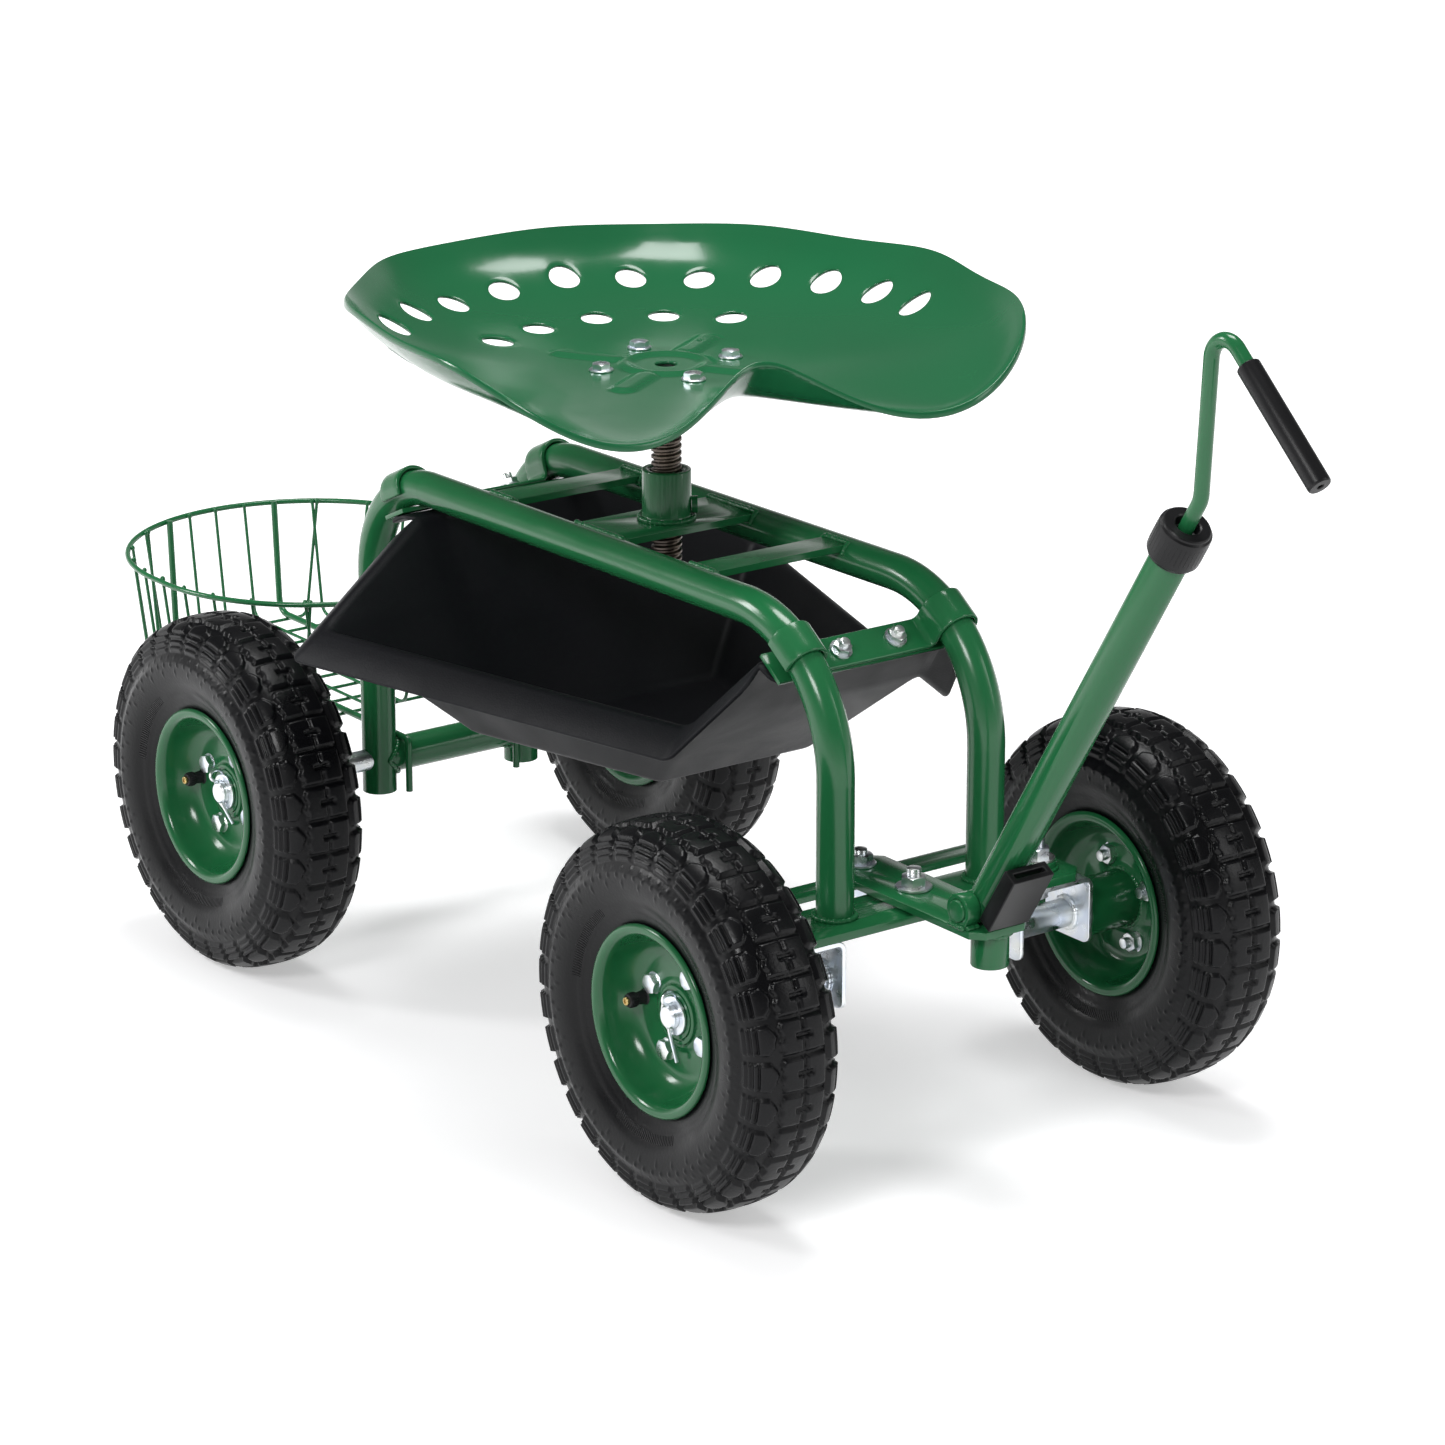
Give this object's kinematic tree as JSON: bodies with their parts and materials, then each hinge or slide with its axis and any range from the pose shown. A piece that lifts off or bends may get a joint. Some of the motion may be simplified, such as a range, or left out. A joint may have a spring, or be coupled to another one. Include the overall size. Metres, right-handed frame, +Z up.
{
  "type": "rolling garden cart with seat",
  "caption": "Rolling garden cart with a turning tractor seat on a screw post, an open tool tray below it, a wire basket behind and a sliding steering handle in front.",
  "frame": {"origin": "centre of the footprint on the ground", "axes": "+X forward to the handle, +Y the cart's left, +Z up"},
  "size_m": [1.2769, 0.4564, 0.6122],
  "materials": {
    "green_paint": "gloss green enamel",
    "zinc": "bright zinc plate",
    "tray_plastic": "fine textured black plastic",
    "black_plastic": "satin black plastic",
    "tyre": "matt black rubber",
    "valve_rubber": "black rubber",
    "screw_steel": "oiled dark steel thread",
    "black_paint": "satin black paint"
  },
  "bodies": {
    "frame": {"frame_tube_right": "green_paint", "frame_tube_left": "green_paint", "seat_plate": "green_paint", "seat_collar": "green_paint", "collar_ring": "green_paint", "cross_bars": "green_paint", "clamp_straps": "green_paint", "clamp_plates": "green_paint", "clamp_bolts": "zinc", "tray": "tray_plastic", "rear_cross_tube": "green_paint", "rear_axle": "zinc", "rear_retainers": "zinc", "front_beam": "green_paint", "kingpins": "zinc", "pivot_bolt": "zinc"},
    "steering": {"steer_plate": "green_paint", "pivot_boss": "green_paint", "hitch_socket": "green_paint", "stop_block": "black_plastic", "tie_bolt": "zinc"},
    "tie_link": {"tie_bar": "green_paint", "tie_end_bolts": "zinc"},
    "knuckle_right": {"knuckle_right": "zinc", "spindle_right": "zinc", "retainers_right": "zinc"},
    "knuckle_left": {"knuckle_left": "zinc", "spindle_left": "zinc", "retainers_left": "zinc"},
    "handle": {"handle_tube": "green_paint", "handle_pin": "green_paint", "handle_collar": "black_plastic"},
    "handle_rod": {"handle_rod": "green_paint", "handle_grip": "black_plastic"},
    "seat_post": {"seat_screw": "screw_steel"},
    "seat": {"seat_pan": "green_paint", "seat_bracket": "black_paint", "seat_bolts": "zinc"},
    "basket": {"basket_frame": "green_paint", "basket_wires": "green_paint"},
    "wheel_front_right": {"fr_tyre": "tyre", "fr_rim": "green_paint", "fr_hub": "green_paint", "fr_rim_bolts": "zinc", "fr_valve": "valve_rubber"},
    "wheel_front_left": {"fl_tyre": "tyre", "fl_rim": "green_paint", "fl_hub": "green_paint", "fl_rim_bolts": "zinc", "fl_valve": "valve_rubber"},
    "wheel_rear_right": {"rr_tyre": "tyre", "rr_rim": "green_paint", "rr_hub": "green_paint", "rr_rim_bolts": "zinc", "rr_valve": "valve_rubber"},
    "wheel_rear_left": {"rl_tyre": "tyre", "rl_rim": "green_paint", "rl_hub": "green_paint", "rl_rim_bolts": "zinc", "rl_valve": "valve_rubber"}
  },
  "joints": [
    {"name": "steer_turn", "type": "hinge", "parent": "frame", "child": "steering", "pos_m": [0.256, 0, 0.175], "axis": [0, 0, 1], "range_deg": [-30, 30]},
    {"name": "knuckle_right_turn", "type": "hinge", "parent": "frame", "child": "knuckle_right", "pos_m": [0.256, -0.105, 0.16], "axis": [0, 0, 1], "range_deg": [-30, 30]},
    {"name": "knuckle_left_turn", "type": "hinge", "parent": "frame", "child": "knuckle_left", "pos_m": [0.256, 0.105, 0.16], "axis": [0, 0, 1], "range_deg": [-30, 30]},
    {"name": "tie_bar_turn", "type": "hinge", "parent": "steering", "child": "tie_link", "pos_m": [0.198, 0, 0.165], "axis": [0, 0, 1], "range_deg": [-30, 30]},
    {"name": "handle_pitch", "type": "hinge", "parent": "steering", "child": "handle", "pos_m": [0.332, 0, 0.187], "axis": [0, 1, 0], "range_deg": [-40, 0]},
    {"name": "rod_slide", "type": "slide", "parent": "handle", "child": "handle_rod", "axis": [0.5299, 0, 0.848], "range_m": [0, 0.22]},
    {"name": "seat_rise", "type": "slide", "parent": "frame", "child": "seat_post", "axis": [0, 0, 1], "range_m": [-0.04, 0.045]},
    {"name": "seat_turn", "type": "hinge", "parent": "seat_post", "child": "seat", "pos_m": [-0.023, 0, 0.46], "axis": [0, 0, 1], "range_deg": [-2880, 3240]},
    {"name": "basket_lift", "type": "slide", "parent": "frame", "child": "basket", "axis": [0, 0, 1], "range_m": [0, 0.045]},
    {"name": "wheel_front_right_spin", "type": "hinge", "parent": "knuckle_right", "child": "wheel_front_right", "pos_m": [0.256, -0.187, 0.13], "axis": [0, 1, 0], "continuous": true},
    {"name": "wheel_front_left_spin", "type": "hinge", "parent": "knuckle_left", "child": "wheel_front_left", "pos_m": [0.256, 0.187, 0.13], "axis": [0, 1, 0], "continuous": true},
    {"name": "wheel_rear_right_spin", "type": "hinge", "parent": "frame", "child": "wheel_rear_right", "pos_m": [-0.3, -0.187, 0.13], "axis": [0, 1, 0], "continuous": true},
    {"name": "wheel_rear_left_spin", "type": "hinge", "parent": "frame", "child": "wheel_rear_left", "pos_m": [-0.3, 0.187, 0.13], "axis": [0, 1, 0], "continuous": true}
  ],
  "couplings": [
    {"joint": "knuckle_right_turn", "follows": "steer_turn", "ratio": 1},
    {"joint": "knuckle_left_turn", "follows": "steer_turn", "ratio": 1},
    {"joint": "tie_bar_turn", "follows": "steer_turn", "ratio": -1},
    {"joint": "seat_rise", "follows": "seat_turn", "m_per_rad": 0.00079577}
  ]
}
